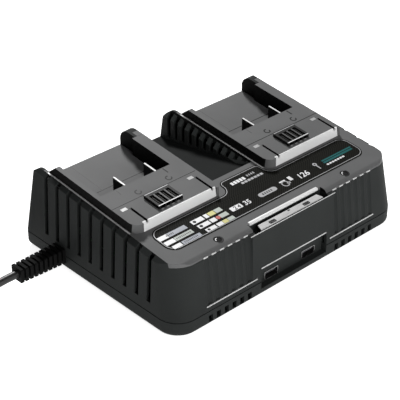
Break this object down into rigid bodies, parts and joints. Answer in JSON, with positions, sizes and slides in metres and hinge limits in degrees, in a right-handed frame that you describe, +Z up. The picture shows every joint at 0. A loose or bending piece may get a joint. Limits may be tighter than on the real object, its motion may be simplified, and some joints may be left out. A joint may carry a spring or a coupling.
{
  "type": "power tool battery charger",
  "caption": "Twin-bay charger for slide-on power tool batteries, with a sloping deck, raised slide-in platforms, vented side walls, USB outlets in the front and a coiled mains lead.",
  "frame": {"origin": "centre of the charger's footprint, on the surface it stands on, without the lead", "axes": "+X along the front to the right, +Y to the rear, +Z up"},
  "size_m": [0.3628, 0.3025, 0.0802],
  "materials": {
    "charcoal_plastic": "fine satin grain",
    "grey_plastic": "fine satin grain",
    "label_film": "printed weave pattern under a clear film",
    "white_plastic": "smooth",
    "clear_plastic": "smooth, frosted",
    "light_plastic": "brushed look",
    "black_plastic": "smooth",
    "contact_metal": "bright",
    "shell_steel": "bright",
    "circuit_board": "solder mask",
    "ferrite": "sintered",
    "winding_tape": "tape",
    "capacitor_sleeve": "shrink sleeve",
    "copper_wire": "enamelled wire",
    "sink_aluminium": "extruded",
    "fuse_glass": "clear",
    "foot_rubber": "matt",
    "screw_steel": "zinc plated",
    "black_rubber": "matt",
    "cord_pvc": "satin",
    "tie_plastic": "satin",
    "plug_plastic": "satin",
    "plug_brass": "nickel plated"
  },
  "bodies": {
    "charger": {"base_tray": "charcoal_plastic", "housing": "charcoal_plastic", "top_cover": "grey_plastic", "label_overlay": "label_film", "status_bar_left": "white_plastic", "status_bar_right": "white_plastic", "led_lenses": "clear_plastic", "bay_windows": "clear_plastic", "usb_icon_plate": "light_plastic", "terminal_block_left": "black_plastic", "terminal_block_right": "black_plastic", "contact_blades_left": "contact_metal", "contact_blades_right": "contact_metal", "guide_fins_left": "black_plastic", "guide_fins_right": "black_plastic", "usb_shell_left": "shell_steel", "usb_shell_right": "shell_steel", "usb_tongue_left": "black_plastic", "usb_tongue_right": "black_plastic", "usb_board": "circuit_board", "main_board": "circuit_board", "transformer_core": "ferrite", "transformer_winding": "winding_tape", "capacitors": "capacitor_sleeve", "choke": "copper_wire", "heatsinks": "sink_aluminium", "fuse": "fuse_glass", "inlet_terminal": "black_plastic", "fan_frame": "black_plastic", "rubber_feet": "foot_rubber", "housing_screws": "screw_steel", "strain_relief": "black_rubber", "mains_cord": "cord_pvc", "cord_coil": "cord_pvc", "cord_tail": "cord_pvc", "coil_tie": "tie_plastic", "plug": "plug_plastic", "plug_pins": "plug_brass"},
    "rotor": {"fan_rotor": "black_plastic"}
  },
  "joints": [
    {"name": "fan_spin", "type": "hinge", "parent": "charger", "child": "rotor", "pos_m": [0.1035, 0.02, 0.0318], "axis": [1, 0, 0], "continuous": true}
  ]
}
